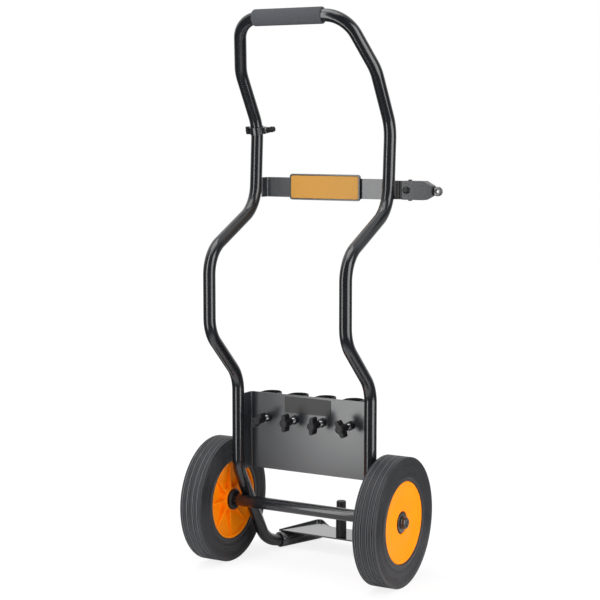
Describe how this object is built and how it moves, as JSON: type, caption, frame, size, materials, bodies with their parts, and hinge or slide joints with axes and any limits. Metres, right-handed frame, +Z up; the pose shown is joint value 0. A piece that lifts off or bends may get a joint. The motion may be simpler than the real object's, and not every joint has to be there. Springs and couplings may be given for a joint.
{
  "type": "tool trolley",
  "caption": "Upright two-wheeled hand trolley for a heavy breaker hammer: bent tube frame, toe plate with locating post, clamped chisel holders and a swinging retaining arm.",
  "frame": {"origin": "middle of the footprint of the bounding box, on the ground", "axes": "+Z up, +Y away from the user towards the load side, +X to the user's right along the axle"},
  "size_m": [0.4962, 0.3774, 1.1335],
  "materials": {
    "gloss_black": "gloss",
    "satin_grey": "satin",
    "toe_black": "satin",
    "orange": "satin",
    "tyre_rubber": "matte",
    "black_plastic": "matte",
    "grip_foam": "matte",
    "zinc": "satin",
    "label_grey": "satin"
  },
  "bodies": {
    "frame": {"side_tube_left": "gloss_black", "side_tube_right": "gloss_black", "axle_tube": "gloss_black", "arm_pin": "gloss_black", "clip_front": "gloss_black", "clip_rear": "gloss_black", "tool_plate": "satin_grey", "cross_strap": "satin_grey", "badge_frame": "satin_grey", "toe_plate": "toe_black", "toe_sleeve_left": "toe_black", "toe_sleeve_right": "toe_black", "chisel_holder_1": "toe_black", "chisel_holder_2": "toe_black", "chisel_holder_3": "toe_black", "chisel_holder_4": "toe_black", "badge_panel": "orange", "axle_cap_left": "black_plastic", "axle_cap_right": "black_plastic", "locating_post": "black_plastic", "arm_bracket": "black_plastic", "clip_screw": "black_plastic", "cord_peg": "black_plastic", "clamp_nut_1": "black_plastic", "clamp_nut_2": "black_plastic", "clamp_nut_3": "black_plastic", "clamp_nut_4": "black_plastic", "handle_grip": "grip_foam", "axle_shaft": "zinc", "axle_washer_left": "zinc", "axle_washer_right": "zinc", "peg_washer": "zinc", "rating_label": "label_grey"},
    "wheel_left": {"tyre_left": "tyre_rubber", "rim_left": "orange", "hub_sleeve_left": "black_plastic", "hub_bush_left": "black_plastic"},
    "wheel_right": {"tyre_right": "tyre_rubber", "rim_right": "orange", "hub_sleeve_right": "black_plastic", "hub_bush_right": "black_plastic"},
    "pad_1": {"clamp_pad_1": "black_plastic"},
    "screw_1": {"clamp_knob_1": "black_plastic", "clamp_stud_1": "zinc"},
    "pad_2": {"clamp_pad_2": "black_plastic"},
    "screw_2": {"clamp_knob_2": "black_plastic", "clamp_stud_2": "zinc"},
    "pad_3": {"clamp_pad_3": "black_plastic"},
    "screw_3": {"clamp_knob_3": "black_plastic", "clamp_stud_3": "zinc"},
    "pad_4": {"clamp_pad_4": "black_plastic"},
    "screw_4": {"clamp_knob_4": "black_plastic", "clamp_stud_4": "zinc"},
    "arm": {"retaining_arm": "satin_grey", "arm_button": "black_plastic", "arm_collar": "black_plastic", "arm_eye": "zinc"}
  },
  "joints": [
    {"name": "wheel_left_spin", "type": "hinge", "parent": "frame", "child": "wheel_left", "pos_m": [-0.2184, -0.05522, 0.13], "axis": [1, 0, 0], "continuous": true},
    {"name": "wheel_right_spin", "type": "hinge", "parent": "frame", "child": "wheel_right", "pos_m": [0.1768, -0.05522, 0.13], "axis": [1, 0, 0], "continuous": true},
    {"name": "arm_swing", "type": "hinge", "parent": "frame", "child": "arm", "pos_m": [0.1762, 0.01078, 0.781], "axis": [0, 0, 1], "range_deg": [0, 90]},
    {"name": "pad_1_travel", "type": "slide", "parent": "frame", "child": "pad_1", "axis": [0, 1, 0], "range_m": [0, 0.0105]},
    {"name": "screw_1_turn", "type": "hinge", "parent": "pad_1", "child": "screw_1", "pos_m": [-0.1228, -0.05522, 0.308], "axis": [0, 1, 0], "range_deg": [0, 2700]},
    {"name": "pad_2_travel", "type": "slide", "parent": "frame", "child": "pad_2", "axis": [0, 1, 0], "range_m": [0, 0.0105]},
    {"name": "screw_2_turn", "type": "hinge", "parent": "pad_2", "child": "screw_2", "pos_m": [-0.0588, -0.05522, 0.308], "axis": [0, 1, 0], "range_deg": [0, 2700]},
    {"name": "pad_3_travel", "type": "slide", "parent": "frame", "child": "pad_3", "axis": [0, 1, 0], "range_m": [0, 0.0105]},
    {"name": "screw_3_turn", "type": "hinge", "parent": "pad_3", "child": "screw_3", "pos_m": [0.0052, -0.05522, 0.308], "axis": [0, 1, 0], "range_deg": [0, 2700]},
    {"name": "pad_4_travel", "type": "slide", "parent": "frame", "child": "pad_4", "axis": [0, 1, 0], "range_m": [0, 0.0105]},
    {"name": "screw_4_turn", "type": "hinge", "parent": "pad_4", "child": "screw_4", "pos_m": [0.0692, -0.05522, 0.308], "axis": [0, 1, 0], "range_deg": [0, 2700]}
  ],
  "couplings": [
    {"joint": "screw_1_turn", "follows": "pad_1_travel", "rad_per_m": 4188.8},
    {"joint": "screw_2_turn", "follows": "pad_2_travel", "rad_per_m": 4188.8},
    {"joint": "screw_3_turn", "follows": "pad_3_travel", "rad_per_m": 4188.8},
    {"joint": "screw_4_turn", "follows": "pad_4_travel", "rad_per_m": 4188.8}
  ]
}
